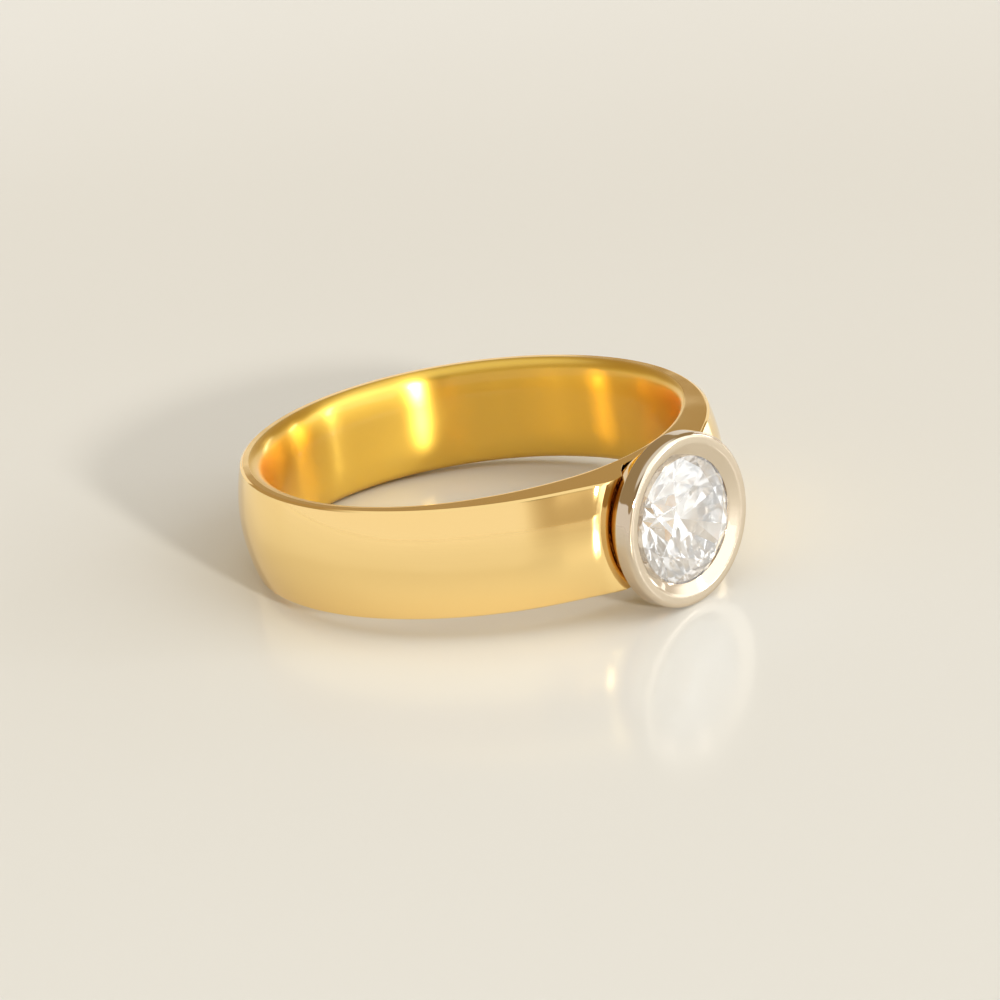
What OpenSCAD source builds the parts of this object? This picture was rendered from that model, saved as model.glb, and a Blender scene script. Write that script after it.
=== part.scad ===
// A solitaire ring lying on its side: a wide polished band, a conical bezel cup and a round brilliant.
// Millimetres, +Z up. The stone faces +X, and z = 0 is the surface that the ring lies on.
// The band and head are drawn in the ring's own frame (finger along Z, stone along X, centre of the
// finger hole at 0,0,0), and lie() then tips them onto the surface.

/* [Finger] */
// Inside diameter of the band
finger_d = 17; // [16:0.1:18]

/* [Band] */
// Width of the band along the finger
band_w = 4.5; // [4.2:0.02:4.7]
// Thickness of the band at its side faces
side_t = 1; // [0.94:0.01:1.06]
// Rise of the outer face from its edges to the middle of the width
crown_h = 0.37; // [0.3:0.01:0.45]
// Radius of the rounded inner edges
comfort_r = 0.9; // [0.8:0.01:0.95]
// Bevel where the side faces meet the outer face
bevel = 0.07; // [0.05:0.01:0.12]

/* [Shoulders] */
// How far the straight outer faces stand outside the round band's edge
shoulder_rise = 0.33; // [0.3:0.01:0.36]
// Radius of the rounding where the shoulders end under the rim
crest_round = 0.6; // [0.5:0.01:0.65]

/* [Bezel] */
// Outside diameter of the bezel's rim
rim_d = 6.92; // [6.86:0.02:7]
// Height of the rim's upright wall and rounded top together
rim_h = 0.73; // [0.65:0.01:0.8]
// Radius of the rim's outer corner
rim_round = 0.24; // [0.1:0.01:0.3]
// Width of the rim's top, from its outer wall to the bright cut inner slope
rim_t = 0.56; // [0.5:0.01:0.62]
// Depth of the bright cut inner slope
bright_cut = 0.21; // [0.15:0.01:0.26]

/* [Stone] */
// Girdle diameter of the stone
stone_d = 5.35; // [5.25:0.05:5.4]
// Width of the stone's edge that the bezel's lip covers
lip = 0.17; // [0.13:0.01:0.2]
// Table width as a share of the girdle
table_part = 0.57; // [0.53:0.01:0.6]
// Angle of the crown's main facets
crown_angle = 34.5; // [33:0.1:35.5]
// Angle of the pavilion's main facets
pavilion_angle = 40.8; // [40.4:0.1:41.2]

/* [Hidden] */
$fn = 96;

finger_r = finger_d / 2;
edge_r = finger_r + side_t;
half_w = band_w / 2;
crown_r = (half_w * half_w + crown_h * crown_h) / (2 * crown_h);

// Directions of the section where the shoulder's arc leaves the round band, and of the straight
// outer face. They are unit vectors with short decimals, and 3-4-5 apart, so that the sections of
// neighbouring pieces meet on the same numbers.
from_dir = [0.352, 0.936];
lean_dir = [0.8432, 0.5376];
turn_cos = 0.8;
turn_sin = 0.6;
shoulder_r = edge_r + shoulder_rise / (1 - turn_cos);
arc_off = edge_r - shoulder_r;
straight_from = arc_off * turn_sin;
straight_to = -7.3;
// How deep the sections reach inwards: past the finger hole, which is then bored out
root = 3;
reach = 20;

// The rounded inner edges cross the finger hole at edge_cross degrees. They are full round the back
// half, and fade to almost nothing under the head
edge_cross = 8;
edge_depth = 0.97 * comfort_r;
fade = 0.62;

// The cutting tools go this far past the metal
over = 1;

// Heights along the stone's axis
rim_top = 11.5;
rim_base = rim_top - rim_h;
rim_r = rim_d / 2;
slope_r = rim_r - rim_t;
lip_h = rim_top - bright_cut;
// The cup narrows by this much for each millimetre down from the rim
cup_taper = 0.73;
cup_base = 9.12;
cup_foot_r = rim_r - cup_taper * (rim_base - cup_base);
cup_hole_r = 1.4;
seat_gap = 0.03;
ledge_r = 2.3;
// The crest, where the shoulders round over and go down to the cup
crest_at = [3.19, 9.385];
// A shallow slope takes over from the rounding where its normal leans out by crest_ends degrees
crest_ends = 10;
crest_slope = tan(20);

stone_r = stone_d / 2;
girdle_t = 0.1;
stone_gap = 0.02;
table_r = stone_r * table_part;
star_r = (table_r + stone_r) / 2;
// Steepest slope of the crown, along the edge between two upper girdle facets
girdle_slope = tan(crown_angle) * (stone_r - star_r * cos(22.5)) / (stone_r - star_r);
girdle_h = lip_h - lip * girdle_slope - stone_gap;
table_h = girdle_h + (stone_r - table_r) * tan(crown_angle);
culet_h = girdle_h - girdle_t - stone_r * tan(pavilion_angle);
// Where the lower girdle facets end, as a share of the girdle
half_part = 0.24;

// The ring lies on the back edge of the bezel's rim and on the far edge of the band
foot_x = edge_r - bevel;
tilt = atan2(rim_r - half_w, rim_base + foot_x);
lift = rim_r * cos(tilt) - rim_base * sin(tilt);
reach_front = table_h * cos(tilt) + table_r * sin(tilt);
reach_back = (edge_r + crown_h - crown_r) * cos(tilt) + crown_r;
centre_x = (reach_front - reach_back) / 2;

// Tips the ring onto the surface and centres its length on the origin
module lie() {
    translate([-centre_x, 0, lift]) rotate([0, -tilt, 0]) children();
}

// Turns a shape drawn along +Z to stand along the stone's axis, +X
module along_stone() {
    rotate([0, 90, 0]) children();
}

// Cross-section of the band's outer half: x runs outwards and is 0 at the edge, y is across the width
module section() {
    intersection() {
        translate([crown_h - crown_r, 0]) circle(crown_r);
        polygon([
            [-root, -half_w], [-bevel, -half_w], [0, -half_w + bevel], [crown_h, -half_w + bevel],
            [crown_h, half_w - bevel], [0, half_w - bevel], [-bevel, half_w], [-root, half_w]
        ]);
    }
}

// The section carried round a full circle of edge radius r
module hoop(r) {
    rotate_extrude() translate([r, 0]) section();
}

// A prism over the plan points p, taller than the band is wide
module prism(p) {
    translate([0, 0, -half_w - over]) linear_extrude(band_w + 2 * over) polygon(p);
}

// One shoulder: an arc of larger radius, then the straight face that runs to the head
module shoulder() {
    centre = arc_off * from_dir;
    middle = [turn_sin, turn_cos];
    intersection() {
        translate([centre.x, centre.y, 0]) hoop(shoulder_r);
        prism([centre, centre + reach * lean_dir, centre + 2 * reach * middle, centre + reach * from_dir]);
    }
    rotate([0, 0, atan2(lean_dir.y, lean_dir.x)]) translate([edge_r + shoulder_rise, 0, 0])
        rotate([90, 0, 0])
            translate([0, 0, -straight_from]) linear_extrude(straight_from - straight_to) section();
}

// What a rounded edge with its centre on a circle of radius r leaves free, at the upper side face
module edge_ring(r) {
    translate([0, 0, half_w - edge_depth]) rotate_extrude() difference() {
        square([r, edge_depth + over]);
        translate([r, 0]) circle(comfort_r);
    }
}

// Tool for the rounded inner edge at the upper side face: the same all round, and from the sides to the
// head shallower, where a second ring that is set back from the stone by fade leaves less free
module edge_tool() {
    full_r = finger_r + comfort_r * cos(edge_cross);
    intersection() {
        edge_ring(full_r);
        translate([-fade, 0, 0]) edge_ring(sqrt(full_r * full_r + fade * fade));
    }
}

// Tool for the head: the cup's pocket, the rounded crest of the shoulders and the room above it
module head_tool() {
    floor_h = cup_base - seat_gap;
    pocket_r = cup_foot_r + seat_gap;
    mouth_h = crest_at.y + crest_round;
    inner = crest_at + crest_round * [-0.6, 0.5];
    outer = crest_at + crest_round * [0.5, 0.5];
    end = crest_at + crest_round * [sin(crest_ends), cos(crest_ends)];
    outer_r = rim_r + 1.5 * over;
    top = rim_top + 2 * over;
    rotate_extrude() {
        polygon([
            [0, floor_h], [pocket_r, floor_h],
            [pocket_r + cup_taper * (mouth_h - floor_h), mouth_h], [0, mouth_h]
        ]);
        difference() {
            polygon([[0, inner.y], inner, outer, [outer.x, top], [0, top]]);
            translate(crest_at) circle(crest_round);
        }
        polygon([
            [crest_at.x, end.y + crest_slope * (end.x - crest_at.x)],
            [outer_r, end.y - crest_slope * (outer_r - end.x)], [outer_r, top], [crest_at.x, top]
        ]);
    }
}

// Yellow gold band with its shoulders, the pocket for the cup and the hole behind the stone
module band() {
    color("gold") lie() difference() {
        union() {
            difference() {
                hoop(edge_r);
                prism([[0, 0], reach * [from_dir.x, -from_dir.y], [2 * reach, 0], reach * from_dir]);
            }
            shoulder();
            mirror([0, 1, 0]) shoulder();
        }
        translate([0, 0, -half_w - over]) cylinder(h = band_w + 2 * over, r = finger_r);
        edge_tool();
        mirror([0, 0, 1]) edge_tool();
        along_stone() {
            head_tool();
            cylinder(h = cup_base, r = cup_hole_r);
        }
    }
}

// White gold cup that holds the stone: cone, upright rim, rounded top, bright cut slope and seat
module bezel() {
    girdle_low = girdle_h - girdle_t - stone_gap;
    ledge_h = girdle_low - (stone_r + stone_gap - ledge_r) * tan(pavilion_angle);
    color("silver") lie() along_stone() rotate_extrude() {
        polygon([
            [cup_hole_r, cup_base], [cup_foot_r, cup_base], [rim_r, rim_base],
            [rim_r, rim_top - rim_round], [rim_r - rim_round, rim_top], [slope_r, rim_top],
            [stone_r - lip, lip_h], [stone_r + stone_gap, girdle_h + stone_gap],
            [stone_r + stone_gap, girdle_low], [ledge_r, ledge_h]
        ]);
        translate([rim_r - rim_round, rim_top - rim_round]) circle(rim_round);
    }
}

// Point at radius r, angle a round the stone's axis and height h
function at(r, a, h) = [r * cos(a), r * sin(a), h];

// Round brilliant: table, 8 stars, 8 kites, 16 upper girdle, girdle, 16 lower girdle, 8 mains
module diamond() {
    step = 45;
    star_h = girdle_h + (stone_r - star_r * cos(step / 2)) * tan(crown_angle);
    half_r = half_part * stone_r;
    low = girdle_h - girdle_t;
    half_h = low - (stone_r - half_r * cos(step / 2)) * tan(pavilion_angle);
    points = concat(
        [for (i = [0:7]) at(table_r, step * i, table_h)],
        [for (i = [0:7]) at(star_r, step * (i + 0.5), star_h)],
        [for (i = [0:15]) at(stone_r, step * i / 2, girdle_h)],
        [for (i = [0:15]) at(stone_r, step * i / 2, low)],
        [for (i = [0:7]) at(half_r, step * (i + 0.5), half_h)],
        [[0, 0, culet_h]]
    );
    star = 8;
    top = 16;
    bottom = 32;
    half = 48;
    culet = 56;
    faces = concat(
        [[for (i = [7:-1:0]) i]],
        [for (i = [0:7]) [i, (i + 1) % 8, star + i]],
        [for (i = [0:7]) [i, star + i, top + 2 * i, star + (i + 7) % 8]],
        [for (i = [0:7]) [star + i, top + 2 * i + 1, top + 2 * i]],
        [for (i = [0:7]) [star + i, top + (2 * i + 2) % 16, top + 2 * i + 1]],
        [for (i = [0:15]) [top + i, top + (i + 1) % 16, bottom + (i + 1) % 16, bottom + i]],
        [for (i = [0:7]) [bottom + 2 * i, bottom + 2 * i + 1, half + i]],
        [for (i = [0:7]) [bottom + 2 * i + 1, bottom + (2 * i + 2) % 16, half + i]],
        [for (i = [0:7]) [bottom + 2 * i, half + i, culet, half + (i + 7) % 8]]
    );
    color("lightcyan") lie() along_stone() polyhedron(points, faces);
}

band();
bezel();
diamond();
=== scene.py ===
"""Diamond solitaire ring on a pale surface: polished surfaces, materials, light and camera
round the CAD frame."""

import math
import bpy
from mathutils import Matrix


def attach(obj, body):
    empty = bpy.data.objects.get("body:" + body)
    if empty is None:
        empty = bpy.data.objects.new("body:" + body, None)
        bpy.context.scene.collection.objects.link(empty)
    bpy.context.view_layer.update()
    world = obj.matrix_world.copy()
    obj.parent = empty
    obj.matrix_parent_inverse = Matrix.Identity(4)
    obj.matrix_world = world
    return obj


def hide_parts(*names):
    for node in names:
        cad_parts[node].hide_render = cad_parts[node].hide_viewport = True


bl_info = {
    "name": "Diamond solitaire ring",
    "version": (1, 0, 0),
    "blender": (4, 5, 0),
    "location": "3D View > Sidebar > Ring",
    "description": "Builds the polished band, bezel and stone of a solitaire ring, with its stage",
    "category": "Object",
}

import bpy
import numpy as np
from bpy.props import FloatProperty, FloatVectorProperty, PointerProperty
from mathutils import Matrix, Vector

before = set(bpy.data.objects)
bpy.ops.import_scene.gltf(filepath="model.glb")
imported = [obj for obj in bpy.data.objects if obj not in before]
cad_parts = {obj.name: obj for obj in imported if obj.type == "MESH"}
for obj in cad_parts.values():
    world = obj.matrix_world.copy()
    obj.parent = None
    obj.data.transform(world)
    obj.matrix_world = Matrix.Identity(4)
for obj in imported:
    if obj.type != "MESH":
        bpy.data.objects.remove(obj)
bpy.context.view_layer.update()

MM = 0.001
# Unit vectors in plan: where the shoulder's arc leaves the round band, and the straight face's normal
FROM_DIR = np.array([0.352, 0.936])
LEAN_DIR = np.array([0.8432, 0.5376])
FROM_ANGLE = math.atan2(FROM_DIR[1], FROM_DIR[0])
LEAN_ANGLE = math.atan2(LEAN_DIR[1], LEAN_DIR[0])
# Cosine of the angle between the two
TURN_COS = 0.8

# Sizes of the head that stay as they are, in millimetres. Heights run along the stone's axis from the
# middle of the finger hole. The cup's cone widens by taper for each millimetre of height. The band's
# pocket stands seat_gap clear below the cup, foot_gap clear at its floor and lip_gap clear at lip_h.
HEAD = {
    "rim_top": 11.5,
    "lip": 0.17,
    "taper": 0.73,
    "cup_base": 9.12,
    "cup_hole_r": 1.4,
    "seat_gap": 0.07,
    "foot_gap": 0.12,
    "lip_gap": 0.03,
    "lip_h": 9.9,
}
# Rounding of the band's crest under the rim: radius, and the distance and height of its centre
CREST_R = 0.6
CREST_AT = (3.19, 9.385)
# The stone: its table's share of the girdle, angles in degrees, girdle height and clearance in the seat
TABLE_PART = 0.57
CROWN_ANGLE = 34.5
PAVILION_ANGLE = 40.8
HALF_FACET = 22.5
GIRDLE = 0.1
CLEAR = 0.02
SEAT_HOLE_R = 2.3

# Points across the finger hole's wall and the outer face, points up each rounded inner edge, and rows of
# faces that each flat side takes with the rounding beside it
ROWS = 61
EDGE = 16
SIDE = 12

# Compass angle of each narrow light in degrees, and its strength against the window's
SLITS = ((39.5, 5.0), (70.0, 3.0), (102.0, 2.0))


def length(name, default_mm, description):
    """A length property that shows in scene units, given in millimetres."""
    return FloatProperty(name=name, description=description, default=default_mm * MM,
                         min=0.0, precision=5, unit="LENGTH")


def share(name, default, description):
    """A property from 0 to 1."""
    return FloatProperty(name=name, description=description, default=default,
                         min=0.0, max=1.0, subtype="FACTOR")


def amount(name, default, description):
    """A strength, from 0 up."""
    return FloatProperty(name=name, description=description, default=default, min=0.0)


def turn(name, default_degrees, description):
    """An angle property, given in degrees."""
    return FloatProperty(name=name, description=description, default=math.radians(default_degrees),
                         subtype="ANGLE", unit="ROTATION")


def colour(name, default, description, most=1.0):
    """A linear colour property, whose channels reach most."""
    return FloatVectorProperty(name=name, description=description, default=default,
                               min=0.0, max=most, size=3, subtype="COLOR")


class RingSizes(bpy.types.PropertyGroup):
    finger_d: length("Finger", 17.0, "Inside diameter of the band")
    band_w: length("Band width", 4.5, "Width of the band along the finger")
    side_t: length("Side thickness", 1.0, "Thickness of the band at its side faces")
    crown_h: length("Crown", 0.37, "Rise of the outer face from its edges to the middle of the width")
    bevel: length("Bevel", 0.07, "Bevel where the side faces meet the outer face")
    shoulder_rise: length("Shoulder rise", 0.33, "How far the straight outer faces stand outside the round")
    comfort: length("Comfort edge", 0.66, "How far the rounded inner edges cut into the sides at the back")
    rim_d: length("Rim", 6.92, "Outside diameter of the bezel's rim")
    rim_h: length("Rim height", 0.73, "Height of the rim's upright wall and rounded top together")
    rim_t: length("Rim width", 0.56, "Width of the rim's top")
    bright_cut: length("Bright cut", 0.21, "Depth of the bright cut inner slope")
    stone_d: length("Stone", 5.35, "Girdle diameter of the stone")


class RingFinish(bpy.types.PropertyGroup):
    gold: colour("Outer gold", (1.0, 0.745, 0.33), "Reflection colour of the band's outer and side faces")
    # Darker, more orange copy of the outer gold: painted shade on the finger hole's wall, which is the same
    # gold
    gold_inside_shaded: colour("Inner gold", (0.9, 0.6, 0.1), "Reflection colour of the finger hole's wall")
    white_gold: colour("White gold", (0.68, 0.58, 0.45), "Reflection colour of the bezel")
    stone: colour("Stone", (0.985, 0.99, 1.0), "Tint of the diamond")
    stone_clear: share("Stone clearness", 0.9, "How much light passes into the diamond")
    # Painted glow: the stone gives off a little light of its own to lift its darks, which a diamond does not
    stone_painted_glow: share("Stone glow", 0.018, "Slight glow that lifts the diamond's darks")
    polish: share("Polish", 0.06, "Roughness of the outer face and the bezel")
    polish_inside: share("Inner polish", 0.3, "Roughness of the finger hole's wall")
    polish_sides: share("Side polish", 0.05, "Roughness of the flat side faces")
    grain: share("Grain", 0.5, "How much the outer face's polishing lines spread light upright")
    grain_inside: share("Inner grain", 0.95, "How much the inner wall's lines spread light upright")
    coat_inside: share("Inner gloss", 0.35, "Clear gloss over the inner wall's lines")


class RingStage(bpy.types.PropertyGroup):
    floor: colour("Floor", (0.81, 0.82, 0.805), "Colour of the pale surface")
    floor_rough: share("Floor roughness", 0.14, "Roughness of the pale surface's sheen")
    floor_sheen: share("Floor sheen", 0.36, "Strength of the pale surface's sheen")
    front: colour("Front light", (0.95, 0.91, 0.88), "Soft low light in front of the ring")
    low: colour("Low light", (0.92, 0.86, 0.78), "Soft low light on the other sides")
    belt: colour("Belt", (0.42, 0.31, 0.17), "Dim warm belt between the low light and the light overhead")
    window: colour("Window", (0.98, 1.0, 1.0), "Bright soft window that the stone faces")
    window_power: amount("Window power", 2.0, "Strength of the window")
    slit: colour("Slits", (1.0, 1.02, 1.1), "Narrow lights behind the ring", 4.0)
    above: colour("Top light", (1.0, 0.98, 0.93), "Soft light from above")
    above_power: amount("Top power", 0.95, "Strength of the light overhead")
    key: colour("Key colour", (1.0, 0.95, 0.86), "Colour of the low key light")
    key_power: amount("Key", 2.3, "Strength of the low sun-like key light")
    key_turn: turn("Key turn", -15.0, "Compass angle of the key light from the stone's side")
    key_rise: turn("Key rise", 15.5, "Height angle of the key light above the surface")
    key_spread: turn("Key spread", 5.0, "Angle across the key light, which softens the shadow")
    lens: FloatProperty(name="Lens", description="Focal length of the camera", default=132.5,
                        min=10.0, unit="CAMERA")


def ring_shape():
    """Named sizes of the ring in millimetres, with the values that follow from them."""
    s = bpy.context.scene.ring_sizes
    v = {k: getattr(s, k) / MM for k in RingSizes.__annotations__}
    v.update(HEAD)
    v["finger_r"] = v["finger_d"] / 2
    v["edge_r"] = v["finger_r"] + v["side_t"]
    v["half_w"] = v["band_w"] / 2
    v["crown_r"] = (v["half_w"] ** 2 + v["crown_h"] ** 2) / (2 * v["crown_h"])
    v["shoulder_r"] = v["edge_r"] + v["shoulder_rise"] / (1 - TURN_COS)
    v["centre"] = (v["edge_r"] - v["shoulder_r"]) * FROM_DIR
    v["face_d"] = v["edge_r"] + v["shoulder_rise"]
    v["rim_base"] = v["rim_top"] - v["rim_h"]
    v["rim_r"] = v["rim_d"] / 2
    v["stone_r"] = v["stone_d"] / 2
    # The ring lies on the rim's lower edge and the band's far edge
    foot_x = v["edge_r"] - v["bevel"]
    v["tilt"] = math.atan2(v["rim_r"] - v["half_w"], v["rim_base"] + foot_x)
    v["lift"] = v["rim_r"] * math.cos(v["tilt"]) - v["rim_base"] * math.sin(v["tilt"])
    # The stone stands as high as the lip's edge lets its crown facets
    table_r = v["stone_r"] * TABLE_PART
    star_r = (table_r + v["stone_r"]) / 2
    crown = math.tan(math.radians(CROWN_ANGLE))
    facet = math.cos(math.radians(HALF_FACET))
    slope = crown * (v["stone_r"] - star_r * facet) / (v["stone_r"] - star_r)
    v["girdle_h"] = v["rim_top"] - v["bright_cut"] - v["lip"] * slope - CLEAR
    table_h = v["girdle_h"] + (v["stone_r"] - table_r) * crown
    # The middle of the ring as it lies, between the stone's table and the back of the band
    front = table_h * math.cos(v["tilt"]) + table_r * math.sin(v["tilt"])
    back = (v["edge_r"] + v["crown_h"] - v["crown_r"]) * math.cos(v["tilt"]) + v["crown_r"]
    v["centre_x"] = (front - back) / 2
    return v


def lie(points, v):
    """Points in the ring's own frame in millimetres, turned by tilt about y, moved to the resting frame
    and given in metres."""
    c, s = math.cos(v["tilt"]), math.sin(v["tilt"])
    x, y, z = points[..., 0], points[..., 1], points[..., 2]
    out = np.stack([x * c - z * s - v["centre_x"], y, x * s + z * c + v["lift"]], axis=-1)
    return out * MM


def smooth(t, a, b):
    """Smoothstep from 0 at a to 1 at b."""
    u = np.clip((t - a) / (b - a), 0.0, 1.0)
    return u * u * (3 - 2 * u)


def soft_min(a, b, k):
    """The smaller of a and b, with the crossing rounded over where they differ by less than k."""
    h = np.clip(k - np.abs(a - b), 0.0, None) / k
    return np.minimum(a, b) - h * h * k / 4


def dome(z, v):
    """Height of the outer face above its edges: an arc of radius crown_r across the width."""
    return v["crown_h"] - v["crown_r"] + np.sqrt(v["crown_r"] ** 2 - z * z)


def out_from(e, d, off, v):
    """Distance along direction d from the outline point e (both in the half plane y >= 0) to the outline
    moved outwards by off. The outline is a straight face, then an arc round centre, then the band's circle,
    and each stretch ends on the line through its centre at LEAN_DIR or FROM_DIR."""
    c = v["centre"]
    flat = (v["face_d"] + off - e @ LEAN_DIR) / (d @ LEAN_DIR)

    def circle(mid, r):
        q = e - mid
        b = (q * d).sum(-1)
        return -b + np.sqrt(b * b - (q * q).sum(-1) + (r + off) ** 2)

    arc = circle(c, v["shoulder_r"])
    hoop = circle(np.zeros(2), v["edge_r"])

    def side(t, mid, way):
        p = e + d * t[..., None] - mid
        return way[0] * p[..., 1] - way[1] * p[..., 0]

    t = np.where(side(arc, c, LEAN_DIR) < 0, flat, arc)
    return np.where(side(hoop, np.zeros(2), FROM_DIR) > 0, hoop, t)


def crest_height(r, v):
    """Height of the head under the bezel at distance r from the stone's axis: the pocket's floor, its cone,
    then a rounding that runs out on a slope."""
    run_out, past, blend = 20, 0.25, 0.02
    mid_r, mid_h = CREST_AT
    floor = v["cup_base"] - v["seat_gap"]
    foot = v["rim_r"] - v["taper"] * (v["rim_base"] - v["cup_base"]) + v["foot_gap"]
    lip_r = v["rim_r"] - v["taper"] * (v["rim_base"] - v["lip_h"]) + v["lip_gap"]
    cone = floor + (r - foot) * (v["lip_h"] - floor) / (lip_r - foot)
    a = math.radians(run_out / 2)
    end_r, end_h = mid_r + CREST_R * math.sin(a), mid_h + CREST_R * math.cos(a)
    slope = end_h - math.tan(math.radians(run_out)) * (r - end_r)
    ball = mid_h + np.sqrt(np.clip(CREST_R ** 2 - (r - mid_r) ** 2, 0.0, None))
    top = np.where(r > end_r + past, slope, soft_min(ball, slope, blend))
    inner = np.where(r > mid_r - CREST_R, np.minimum(cone, ball), cone)
    return np.where(r < mid_r, np.maximum(floor, inner), top)


def mesh_object(name, verts, faces, sharp=None):
    """A mesh object at the origin from vertex and quad arrays, smooth shaded, with edges over sharp
    degrees kept crisp."""
    faces = np.asarray(faces)
    used, faces = np.unique(faces, return_inverse=True)
    verts, faces = verts[used], faces.reshape(-1, 4)
    mesh = bpy.data.meshes.new(name)
    mesh.from_pydata(verts.tolist(), [], faces.tolist())
    mesh.validate()
    mesh.update()
    mesh.polygons.foreach_set("use_smooth", np.ones(len(mesh.polygons), bool))
    if sharp is not None:
        mesh.set_sharp_from_angle(angle=math.radians(sharp))
    ob = bpy.data.objects.new(name, mesh)
    bpy.context.scene.collection.objects.link(ob)
    return ob


def grid_faces(nu, nv):
    """Quads of a grid that closes on itself in both directions, u slow and v fast."""
    i = np.arange(nu)[:, None]
    j = np.arange(nv)[None, :]
    a = i * nv + j
    b = ((i + 1) % nu) * nv + j
    c = ((i + 1) % nu) * nv + (j + 1) % nv
    d = i * nv + (j + 1) % nv
    return np.stack([a, b, c, d], axis=-1).reshape(-1, 4)


def stations(v):
    """Points of the band's outline for the half y >= 0 from the head to the back, and the direction of the
    slice through each. It turns from +x at the head to the outline's normal by the end of the arc."""
    face_n, arc_n, hoop_n = 72, 56, 130
    straight = 0.9
    y_turn = v["centre"][1] + v["shoulder_r"] * LEAN_DIR[1]
    ys = np.linspace(0.0, y_turn, face_n)
    flat_x = (v["face_d"] - LEAN_DIR[1] * ys) / LEAN_DIR[0]
    a1 = np.linspace(LEAN_ANGLE, FROM_ANGLE, arc_n)[1:]
    a2 = np.linspace(FROM_ANGLE, math.pi, hoop_n)[1:]
    arc = v["centre"] + v["shoulder_r"] * np.stack([np.cos(a1), np.sin(a1)], -1)
    hoop = v["edge_r"] * np.stack([np.cos(a2), np.sin(a2)], -1)
    e = np.concatenate([np.stack([flat_x, ys], -1), arc, hoop])
    normal = np.concatenate([np.full(len(ys), LEAN_ANGLE), a1, a2])
    ang = normal * smooth(np.arange(len(e)), len(ys) * straight, len(ys) + len(a1))
    return e, np.stack([np.cos(ang), np.sin(ang)], -1)


def inner_edge(theta, v):
    """The rounded inner edge at each compass angle: distance outwards and height, and its depth. A wide arc
    leans out, then a small one turns to the side face. The edge grows from the head to the side."""
    wide_r, small_r, lean = 4.0, 0.54, math.radians(15)
    wide_n = 6
    grows_from, grows_to = 18, 90
    least_cut, least_depth = 0.05, 0.12
    grown = smooth(np.degrees(theta), grows_from, grows_to)
    cut = least_cut + (v["comfort"] - least_cut) * grown
    q1 = np.linspace(0, lean, wide_n + 1)[1:]
    q2 = np.linspace(lean, math.pi / 2, EDGE - wide_n + 1)[1:]
    run_t = np.concatenate([wide_r * (1 - np.cos(q1)),
                            wide_r * (1 - math.cos(lean)) + small_r * (math.cos(lean) - np.cos(q2))])
    run_z = np.concatenate([wide_r * np.sin(q1),
                            wide_r * math.sin(lean) + small_r * (np.sin(q2) - math.sin(lean))])
    depth = least_depth + (run_z[-1] - least_depth) * grown
    t = cut[:, None] * (run_t / run_t[-1])[None, :]
    z = v["half_w"] - depth[:, None] * (1 - run_z / run_z[-1])[None, :]
    return t, z, cut, depth


def band_surface(v):
    """The whole band as one closed surface. u runs round the ring and v round its section.

    For each station u, a slice starts at the outline point e(u) with direction d(u). It meets the finger
    hole at radius finger_r, and the outer face at the outline moved out by dome(z). Round the head the
    outer face is the soft minimum of that and the crest's height over (y, z)."""
    hw, fr, bev = v["half_w"], v["finger_r"], v["bevel"]
    round_r, spread, blend = 0.03, 1.52, 0.1
    head_y, head_x = 4.3, 5
    side_n = 10
    e, d = stations(v)
    # Finger hole end of each slice
    b = (e * d).sum(-1)
    t_in = -b + np.sqrt(b * b - (e * e).sum(-1) + fr * fr)
    hole = e + d * t_in[:, None]
    edge_t, edge_z, cut, depth = inner_edge(np.arctan2(hole[:, 1], hole[:, 0]), v)
    # Rows across the width, shared by the finger hole's wall and the outer face, finer near the edges
    w = np.sin(np.linspace(-1, 1, ROWS) * spread) / math.sin(spread)
    zo = hw - bev

    def outer(zz, off=None):
        """Distance along the slice from e to the outer surface at heights zz."""
        o = dome(zz, v) if off is None else off
        t0 = out_from(e[:, None, :] + 0 * o[..., None], d[:, None, :] + 0 * o[..., None], o, v)
        p = e[:, None, :] + d[:, None, :] * t0[..., None]
        head = crest_height(np.hypot(p[..., 1], zz), v)
        # In the head the slices run along x, so height and distance along the slice agree
        crest = head - e[:, None, 0]
        near = (np.abs(p[..., 1]) < head_y) & (p[..., 0] > head_x)
        return np.where(near, soft_min(t0, crest, blend), t0)

    # The side face ends at the outline set back by the bevel, or at the crest
    one = np.ones((len(e), 1))
    t_side = outer(hw * one, -bev * one)[:, 0]
    t_bev = np.maximum(outer(zo * one, 0.0 * one)[:, 0], t_side)
    first = t_in + cut
    s = np.linspace(0, 1, side_n + 2)[1:-1]
    side = first[:, None] + (t_side - first)[:, None] * s[None, :]
    # Small rounding where the side face meets the bevel, then a point half way down the bevel
    f = np.clip((t_bev - t_side) / bev, 0, 1)
    cor = t_side[:, None] + round_r * np.stack([-1 + 0 * f, -0.4 + 0 * f, 0.28 * f, 0.7 * f], -1)
    corz = hw - round_r * np.array([0.0, 0.1, 0.45, 0.75])[None, :] + 0 * cor
    mid = (t_side + (t_bev - t_side) * 0.5)[:, None]
    midz = hw - bev * 0.5 + 0 * mid
    # Outer face from the upper bevel to the lower one
    zz = np.broadcast_to(-zo * w[None, :], (len(e), ROWS))
    face = outer(zz)

    # v runs up the hole's wall, round the inner edge, over the side and bevel, down the outer face and back
    up_t = np.concatenate([t_in[:, None] + edge_t, side, cor, mid], 1)
    up_z = np.concatenate([edge_z, hw + 0 * side, corz, midz], 1)
    wall_z = (hw - depth)[:, None] * w[None, :]
    wall_t = t_in[:, None] + 0 * wall_z
    all_t = np.concatenate([wall_t, up_t, face, up_t[:, ::-1]], 1)
    all_z = np.concatenate([wall_z, up_z, zz, -up_z[:, ::-1]], 1)
    xy = e[:, None, :] + d[:, None, :] * all_t[..., None]
    half = np.concatenate([xy, all_z[..., None]], -1)
    # The other side of the ring is the mirror image; the stations at the head and back are shared
    other = half[1:-1][::-1] * np.array([1.0, -1.0, 1.0])
    return np.concatenate([half, other])


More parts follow.
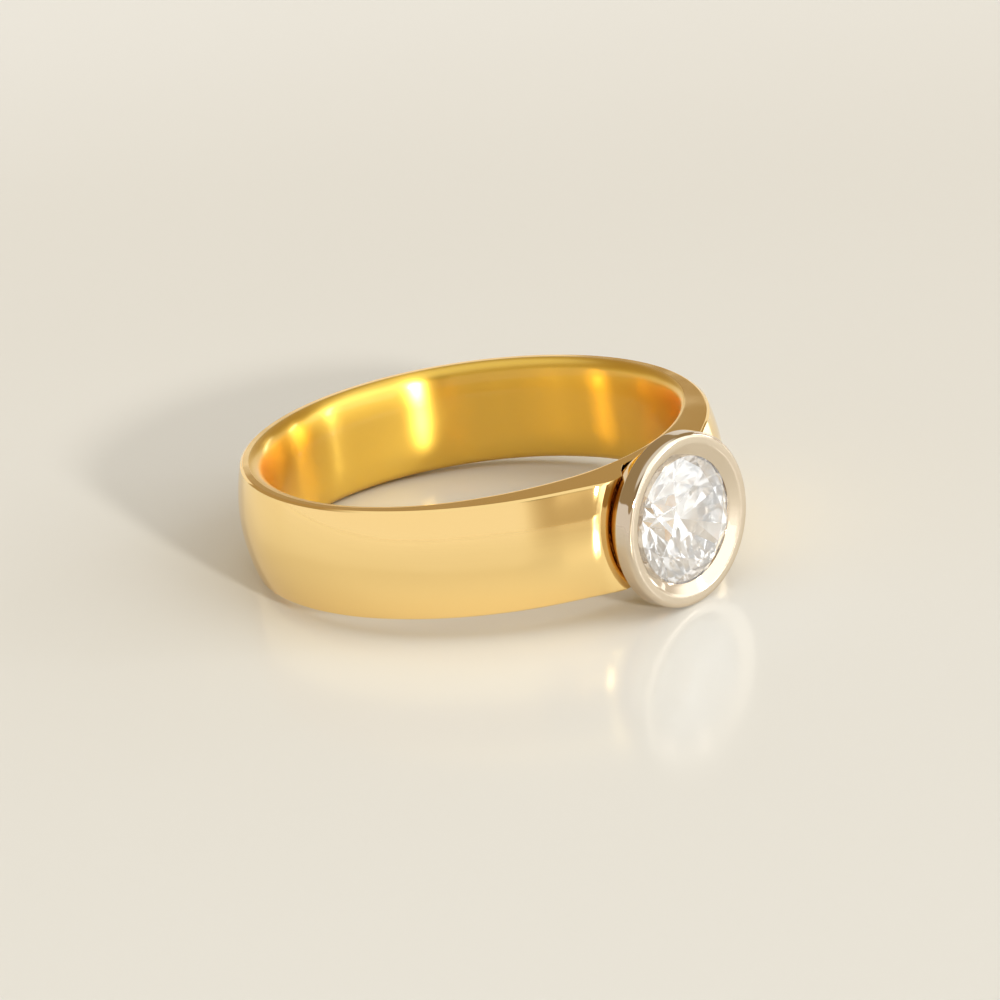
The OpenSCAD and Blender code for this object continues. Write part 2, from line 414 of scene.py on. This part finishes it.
def pierced(grid, v):
    """The band's points and faces with the round hole behind the stone, and each face's finish: 0 outer face,
    1 finger hole, 2 side faces. Cells of the finger hole's wall and of the pocket's floor whose middle lies
    within cup_hole_r of the stone's axis go, the points left on their edge move to the circle, and a wall of
    quads joins the two edges."""
    nu, nv = grid.shape[:2]
    # The grid runs the other way round its section, so its quads are turned to face outward
    faces = grid_faces(nu, nv)[:, ::-1].reshape(nu, nv, 4)
    inner = grid[:, :ROWS]
    mid = (inner[:, :-1] + inner[:, 1:]) / 2
    mid = (mid + np.roll(mid, -1, 0)) / 2
    gone = (np.hypot(mid[..., 1], mid[..., 2]) < v["cup_hole_r"]) & (mid[..., 0] > 0)
    back = nv - (nv - 2 * ROWS) // 2 - ROWS
    keep = np.ones((nu, nv), bool)
    keep[:, :ROWS - 1] &= ~gone
    keep[:, back:back + ROWS - 1] &= ~gone[:, ::-1]
    # Points on the edge touch a cell that goes and one that stays
    pad = np.pad(gone, ((0, 0), (1, 1)))
    near = np.stack([pad[:, :-1], pad[:, 1:], np.roll(pad, 1, 0)[:, :-1], np.roll(pad, 1, 0)[:, 1:]])
    rim = near.any(0) & ~near.all(0)
    for rows, on_wall in ((slice(0, ROWS), True), (slice(back + ROWS - 1, back - 1, -1), False)):
        sheet = grid[:, rows]
        r = np.hypot(sheet[..., 1], sheet[..., 2])
        k = np.where(rim, v["cup_hole_r"] / np.maximum(r, 1e-9), 1.0)
        sheet[..., 1] *= k
        sheet[..., 2] *= k
        if on_wall:
            x = np.sqrt(np.clip(v["finger_r"] ** 2 - sheet[..., 1] ** 2, 0, None))
            sheet[..., 0] = np.where(rim, x, sheet[..., 0])
    i, j = np.meshgrid(np.arange(nu), np.arange(ROWS), indexing="ij")
    one = i * nv + j
    two = i * nv + back + ROWS - 1 - j
    nxt = (i + 1) % nu * nv
    along_u = pad[:, :-1] != pad[:, 1:]
    along_v = gone != np.roll(gone, 1, 0)
    a = np.stack([one, nxt + j, nxt + back + ROWS - 1 - j, two], -1)[along_u]
    b = np.stack([one[:, :-1], one[:, 1:], two[:, 1:], two[:, :-1]], -1)[along_v]
    wall = np.concatenate([a, b])
    # Quads of this wall face the stone's axis
    pts = grid.reshape(-1, 3)
    c = pts[wall]
    n = np.cross(c[:, 2] - c[:, 0], c[:, 3] - c[:, 1])
    m = c.mean(1)
    wrong = (n[:, 1:] * m[:, 1:]).sum(-1) > 0
    wall[wrong] = wall[wrong][:, ::-1]
    finish = np.zeros((nu, nv), int)
    finish[:, :ROWS + EDGE - 1] = 1
    finish[:, -EDGE:] = 1
    finish[:, ROWS + EDGE - 1:ROWS + EDGE - 1 + SIDE] = 2
    finish[:, -EDGE - SIDE:-EDGE] = 2
    return pts, np.concatenate([faces[keep], wall]), np.concatenate([finish[keep], np.ones(len(wall), int)])


class OBJECT_OT_ring_band(bpy.types.Operator):
    """Yellow gold band with its shoulders, as one polished surface"""

    bl_idname = "object.ring_band"
    bl_label = "Band"

    def execute(self, context):
        v = ring_shape()
        pts, faces, finish = pierced(band_surface(v), v)
        ob = mesh_object("band_polished", lie(pts, v), faces, 35)
        f = context.scene.ring_finish
        # The finger hole's wall takes the darker inner gold as painted shade; its rougher lines and clear
        # gloss are its own
        for name, tone, rough, grain, coat in (
                ("Yellow gold polished", f.gold, f.polish, f.grain, 0.0),
                ("Yellow gold inside", f.gold_inside_shaded, f.polish_inside, f.grain_inside, f.coat_inside),
                ("Yellow gold sides", f.gold, f.polish_sides, 0.0, 0.0)):
            ob.data.materials.append(gold_material(name, tone, rough, grain, coat))
        ob.data.polygons.foreach_set("material_index", finish.astype(np.int32))
        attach(ob, "root")
        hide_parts("band")
        return {"FINISHED"}


def turned(profile, segments):
    """A closed profile of (radius, height) points turned about the stone's axis, +x in the ring's frame."""
    a = np.linspace(0, 2 * math.pi, segments, endpoint=False)
    r, h = profile[:, 0], profile[:, 1]
    x = np.broadcast_to(h[None, :], (segments, len(h)))
    y = r[None, :] * np.cos(a)[:, None]
    z = r[None, :] * np.sin(a)[:, None]
    return np.stack([x, y, z], -1)


def corner(p, a, b, r, n):
    """Points of a small rounding of radius r at corner p between neighbours a and b."""
    p, a, b = np.array(p), np.array(a), np.array(b)
    u = (a - p) / np.linalg.norm(a - p)
    w = (b - p) / np.linalg.norm(b - p)
    half = math.acos(np.clip(u @ w, -1, 1)) / 2
    t = r / math.tan(half)
    mid = p + (u + w) / np.linalg.norm(u + w) * (r / math.sin(half))
    s, e = p + u * t - mid, p + w * t - mid
    g = np.linspace(0, 1, n)[:, None]
    arc = s * (1 - g) + e * g
    return mid + arc / np.linalg.norm(arc, axis=1)[:, None] * r


def rounded_profile(corners):
    """A closed profile from (radius, height, rounding) corners, with points along its straight stretches.
    Roundings over large take fine points, and the others coarse."""
    spacing, large, fine, coarse = 0.12, 0.1, 10, 5
    n = len(corners)
    arcs = []
    for i, (x, y, r) in enumerate(corners):
        a, b = corners[i - 1][:2], corners[(i + 1) % n][:2]
        arcs.append(corner((x, y), a, b, r, fine if r > large else coarse))
    pts = []
    for i in range(n):
        pts.append(arcs[i])
        a, b = arcs[i][-1], arcs[(i + 1) % n][0]
        k = max(1, int(np.linalg.norm(b - a) / spacing))
        g = np.linspace(0, 1, k + 1)[1:-1, None]
        if len(g):
            pts.append(a * (1 - g) + b * g)
    return np.concatenate(pts)


class OBJECT_OT_ring_bezel(bpy.types.Operator):
    """White gold cup with its rim, bright cut slope and seat"""

    bl_idname = "object.ring_bezel"
    bl_label = "Bezel"

    def execute(self, context):
        v = ring_shape()
        top, rim_r = v["rim_top"], v["rim_r"]
        inside = rim_r - v["rim_t"]
        seat_r = v["stone_r"] + CLEAR
        foot = rim_r - v["taper"] * (v["rim_base"] - v["cup_base"])
        low = v["girdle_h"] - GIRDLE - CLEAR
        ledge = low - (seat_r - SEAT_HOLE_R) * math.tan(math.radians(PAVILION_ANGLE))
        profile = rounded_profile([
            (v["cup_hole_r"], v["cup_base"], 0.02),
            (foot, v["cup_base"], 0.03),
            (rim_r, v["rim_base"], 0.05),
            (rim_r, top - 0.07, 0.2),
            (rim_r - 0.17, top, 0.25),
            (inside + 0.12, top, 0.3),
            (inside, top - 0.04, 0.015),
            (v["stone_r"] - v["lip"], top - v["bright_cut"], 0.012),
            (seat_r, v["girdle_h"] + CLEAR, 0.005),
            (seat_r, low, 0.005),
            (SEAT_HOLE_R, ledge, 0.01),
        ])
        grid = turned(profile, 192)
        ob = mesh_object("bezel_polished", lie(grid.reshape(-1, 3), v), grid_faces(*grid.shape[:2]), 35)
        ob.data.materials.append(white_gold_material())
        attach(ob, "root")
        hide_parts("bezel")
        return {"FINISHED"}


class OBJECT_OT_ring_stone(bpy.types.Operator):
    """Diamond: the CAD brilliant with a clear, strongly refracting material"""

    bl_idname = "object.ring_stone"
    bl_label = "Stone"

    def execute(self, context):
        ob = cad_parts["diamond"]
        ob.data.materials.clear()
        ob.data.materials.append(diamond_material())
        return {"FINISHED"}


class Sock:
    """A shader socket or number that Python's operators turn into Math nodes, and a maker of other nodes."""

    def __init__(self, tree, value):
        self.tree, self.value = tree, value

    def node(self, kind, settings=None, inputs=None, out=0):
        """Adds a node of this type: its settings first, then values or links into its sockets."""
        n = self.tree.nodes.new(kind)
        for k, x in (settings or {}).items():
            setattr(n, k, x)
        for k, x in (inputs or {}).items():
            if isinstance(x, Sock):
                x = x.value
            live = []
            if isinstance(k, str):
                live = [i for i in n.inputs if i.enabled and k in (i.name, i.identifier)]
            target = live[0] if live else n.inputs[k]
            if isinstance(x, bpy.types.NodeSocket):
                self.tree.links.new(x, target)
            else:
                target.default_value = x
        if kind == "ShaderNodeMix":
            return Sock(self.tree, next(o for o in n.outputs if o.enabled))
        return Sock(self.tree, n.outputs[out])

    def math(self, op, a, b=0.0):
        return self.node("ShaderNodeMath", {"operation": op}, {0: a, 1: b})

    def __add__(self, o):
        return self.math("ADD", self, o)

    def __mul__(self, o):
        return self.math("MULTIPLY", self, o)

    def __truediv__(self, o):
        return self.math("DIVIDE", self, o)

    def __rsub__(self, o):
        return self.math("SUBTRACT", o, self)

    def root(self):
        return self.math("SQRT", self)

    def noise(self, place, scale, detail):
        """Soft random values from 0 to 1, with scale waves to the metre."""
        return self.node("ShaderNodeTexNoise", {}, {"Vector": place, "Scale": scale, "Detail": detail})

    def mix(self, factor, a, b):
        """Colour a at factor 0 and b at 1, each a wrapped socket or three numbers."""
        a, b = (c if isinstance(c, Sock) else (*c, 1.0) for c in (a, b))
        return self.node("ShaderNodeMix", {"data_type": "RGBA"}, {"Factor": factor, "A": a, "B": b})

    def rise(self, value, low, high):
        """Smoothstep of a value from 0 at low to 1 at high."""
        return self.node("ShaderNodeMapRange", {"interpolation_type": "SMOOTHSTEP"},
                         {"Value": value, "From Min": low, "From Max": high})

    def drift(self, place, tone, scale, change):
        """A colour that drifts softly from tone to tone times change."""
        tone = tuple(tone)
        return self.mix(self.noise(place, scale, 2.0), tone, tuple(c * k for c, k in zip(tone, change)))

    def bump(self, height, strength):
        """A normal from a height, where 1 stands for a tenth of a millimetre at full strength."""
        return self.node("ShaderNodeBump", {},
                         {"Strength": strength, "Distance": 0.1 * MM, "Height": height})


def new_material(name, constants):
    """A material whose Principled shader has these constant inputs. Gives the material, the shader, a node
    maker and the object's coordinates."""
    m = bpy.data.materials.new(name)
    m.use_nodes = True
    tree = m.node_tree
    shader = next(n for n in tree.nodes if n.type == "BSDF_PRINCIPLED")
    for k, x in constants.items():
        shader.inputs[k].default_value = x
    maker = Sock(tree, None)
    return m, shader, maker, maker.node("ShaderNodeTexCoord", out="Object")


def plug(sock, shader, name):
    """Links a wrapped socket into a shader's input."""
    sock.tree.links.new(sock.value, shader.inputs[name])


def gold_material(name, tone, roughness, grain, coat):
    """Yellow gold with fine polishing lines round the ring that spread highlights upright: a slight drift of
    colour, a hazy roughness, a clear coat where given, and a bump of soft waves, ripples and lines."""
    m, shader, mk, place = new_material(name, {
        "Metallic": 1.0, "Anisotropic": grain, "Anisotropic Rotation": 0.25,
        "Coat Weight": coat, "Coat Roughness": 0.07, "Coat IOR": 1.6})
    plug(mk.drift(place, tone, 160.0, (1.0, 0.97, 0.92)), shader, "Base Color")
    plug(mk.noise(place, 700.0, 4.0) * 0.06 + (roughness - 0.03), shader, "Roughness")
    across = mk.node("ShaderNodeMapping", {}, {"Vector": place, "Rotation": (0.0, ring_shape()["tilt"], 0.0),
                                               "Scale": (1.0, 1.0, 40.0)})
    lines = mk.noise(across, 500.0, 3.0)
    ripple = mk.noise(place, 260.0, 1.5)
    flatter = mk.node("ShaderNodeMapping", {}, {"Vector": place, "Scale": (1.0, 1.0, 3.0)})
    wave = mk.noise(flatter, 120.0, 0.0)
    plug(mk.bump(wave * 0.7 + ripple * 0.12 + lines * 0.004, 1.0), shader, "Normal")
    return m


def white_gold_material():
    """White gold, polished, with a faint drift of colour, haze and ripple."""
    f = bpy.context.scene.ring_finish
    m, shader, mk, place = new_material("White gold polished", {"Metallic": 1.0})
    plug(mk.drift(place, f.white_gold, 400.0, (1.0, 0.98, 0.95)), shader, "Base Color")
    plug(mk.noise(place, 1500.0, 3.0) * 0.05 + (f.polish - 0.03), shader, "Roughness")
    plug(mk.bump(mk.noise(place, 900.0, 1.0), 0.04), shader, "Normal")
    return m


def diamond_material():
    """Diamond: nearly clear and colourless, with its own refractive index, a slight painted glow that lifts
    its darks, and faint wear in its roughness."""
    f = bpy.context.scene.ring_finish
    # The emission is a painted glow that lifts the stone's darks
    m, shader, mk, place = new_material("Diamond cut", {
        "Base Color": (*f.stone, 1.0), "Transmission Weight": f.stone_clear, "IOR": 2.417,
        "Emission Color": (1.0, 1.0, 1.0, 1.0), "Emission Strength": f.stone_painted_glow})
    plug(mk.noise(place, 2500.0, 1.0) * 0.01, shader, "Roughness")
    return m


def floor_material():
    """Plain pale surface with the faintest cloudiness and a soft sheen."""
    f = bpy.context.scene.ring_stage
    m, shader, mk, place = new_material("Pale surface", {
        "Roughness": f.floor_rough, "Specular IOR Level": f.floor_sheen})
    plug(mk.drift(place, f.floor, 14.0, (0.96, 0.955, 0.94)), shader, "Base Color")
    return m


def soft_room():
    """World light by direction. Low down it is a soft cream light, with one dim patch. A dim warm belt stands
    above it, which starts lower behind the ring, and soft light comes from overhead. A bright window stands
    before the stone, and narrow lights behind the ring."""
    f = bpy.context.scene.ring_stage
    world = bpy.data.worlds.new("Soft room")
    world.use_nodes = True
    tree = world.node_tree
    mk = Sock(tree, None)
    split = mk.node("ShaderNodeSeparateXYZ", {}, {"Vector": mk.node("ShaderNodeTexCoord", out="Generated")})
    x, y, z = (Sock(tree, split.value.node.outputs[k]) for k in "XYZ")

    def lobe(compass, wide, soft):
        """1 within wide degrees of a compass angle, falling smoothly to 0 over soft degrees more."""
        a = math.radians(compass)
        flat = (x * math.cos(a) + y * math.sin(a)) / (x * x + y * y + 1e-6).root()
        return mk.rise(flat, math.cos(math.radians(wide + soft)), math.cos(math.radians(wide)))

    def step(low, high):
        """0 below the height angle low, 1 above high, in degrees."""
        return mk.rise(z, math.sin(math.radians(low)), math.sin(math.radians(high)))

    def times(tone, k):
        return tuple(c * k for c in tone)

    low = mk.mix(lobe(-92, 52, 10), f.low, f.front)
    low = mk.mix(lobe(-18, 3, 15) * 0.75, low, f.belt)
    light = mk.mix(step(19.8, 21.2), low, f.belt)
    light = mk.mix(lobe(137, 35, 15) * step(14.7, 15.4), light, f.belt)
    light = mk.mix(lobe(-22, 6, 10) * step(17.3, 18.6), light, times(f.belt, 0.5))
    light = mk.mix(step(45, 60), light, times(f.above, f.above_power))
    light = mk.mix(lobe(26, 26, 14) * (1.0 - step(50, 65)), light, times(f.window, f.window_power))
    for compass, power in SLITS:
        slit = lobe(compass, 1.5, 1.0) * step(3, 5) * (1.0 - step(22, 26))
        light = mk.mix(slit, light, times(f.slit, f.window_power * power))
    tree.links.new(light.value, tree.nodes["Background"].inputs["Color"])
    return world


def flat_sheet(half_side, n):
    """Points and quads of a flat square sheet at height 0 with n points a side, facing up."""
    a = np.linspace(-1, 1, n) * half_side
    g = np.stack(np.meshgrid(a, a, indexing="ij"), -1)
    pts = np.concatenate([g, np.zeros((n, n, 1))], -1).reshape(-1, 3)
    i = np.arange(n - 1)[:, None] * n + np.arange(n - 1)[None, :]
    return pts, np.stack([i, i + n, i + n + 1, i + 1], -1).reshape(-1, 4)


class OBJECT_OT_ring_stage(bpy.types.Operator):
    """Pale surface, soft light and the camera at the photograph's angle"""

    bl_idname = "object.ring_stage"
    bl_label = "Stage"

    def execute(self, context):
        scene = context.scene
        f = scene.ring_stage
        surface = mesh_object("surface", *flat_sheet(3.0, 60))
        surface.data.materials.append(floor_material())

        scene.world = soft_room()
        sun = bpy.data.lights.new("Key", "SUN")
        sun.energy = f.key_power
        sun.angle = f.key_spread
        sun.color = f.key
        key = bpy.data.objects.new("Key", sun)
        scene.collection.objects.link(key)
        rise, compass = f.key_rise, f.key_turn
        aim = Vector((math.cos(rise) * math.cos(compass), math.cos(rise) * math.sin(compass), math.sin(rise)))
        key.rotation_euler = aim.to_track_quat("Z", "Y").to_euler()

        # Camera: axes of the photograph in the ring's own frame, turned with the ring onto the surface
        v = ring_shape()
        right = np.array([0.7136, 0.6877, -0.1333])
        up = np.array([-0.1391, 0.3256, 0.9352])
        back = np.array([0.6866, -0.6489, 0.3280])
        eye = np.array([103.99, -97.26, 48.47])
        zero = lie(np.zeros(3), v)
        axes = [(lie(w, v) - zero) / MM for w in (right, up, back)]
        cam = bpy.data.cameras.new("Camera")
        cam.lens = f.lens
        cam.sensor_width = 36.0
        cam.clip_start, cam.clip_end = 0.01, 20.0
        ob = bpy.data.objects.new("Camera", cam)
        scene.collection.objects.link(ob)
        rot = Matrix([list(w) for w in axes]).transposed().to_quaternion()
        ob.matrix_world = Matrix.Translation(Vector(lie(eye, v))) @ rot.to_matrix().to_4x4()
        scene.camera = ob
        scene.view_settings.view_transform = "Standard"
        # Light turns back many times inside the stone and the ring
        scene.cycles.max_bounces = 24
        scene.cycles.glossy_bounces = 16
        scene.cycles.transmission_bounces = 24
        return {"FINISHED"}


class VIEW3D_PT_ring(bpy.types.Panel):
    bl_label = "Solitaire ring"
    bl_idname = "VIEW3D_PT_ring"
    bl_space_type = "VIEW_3D"
    bl_region_type = "UI"
    bl_category = "Ring"

    def draw(self, context):
        layout = self.layout
        for group in (context.scene.ring_sizes, context.scene.ring_finish, context.scene.ring_stage):
            box = layout.box()
            for name in type(group).__annotations__:
                box.prop(group, name)
        for op in OPERATORS:
            layout.operator(op.bl_idname)


OPERATORS = (OBJECT_OT_ring_band, OBJECT_OT_ring_bezel, OBJECT_OT_ring_stone, OBJECT_OT_ring_stage)
CLASSES = (RingSizes, RingFinish, RingStage) + OPERATORS + (VIEW3D_PT_ring,)


def register():
    for c in CLASSES:
        bpy.utils.register_class(c)
    bpy.types.Scene.ring_sizes = PointerProperty(type=RingSizes)
    bpy.types.Scene.ring_finish = PointerProperty(type=RingFinish)
    bpy.types.Scene.ring_stage = PointerProperty(type=RingStage)


def unregister():
    del bpy.types.Scene.ring_stage
    del bpy.types.Scene.ring_finish
    del bpy.types.Scene.ring_sizes
    for c in reversed(CLASSES):
        bpy.utils.unregister_class(c)


def main():
    register()
    bpy.ops.object.ring_band()
    bpy.ops.object.ring_bezel()
    bpy.ops.object.ring_stone()
    bpy.ops.object.ring_stage()


if __name__ == "__main__":
    main()
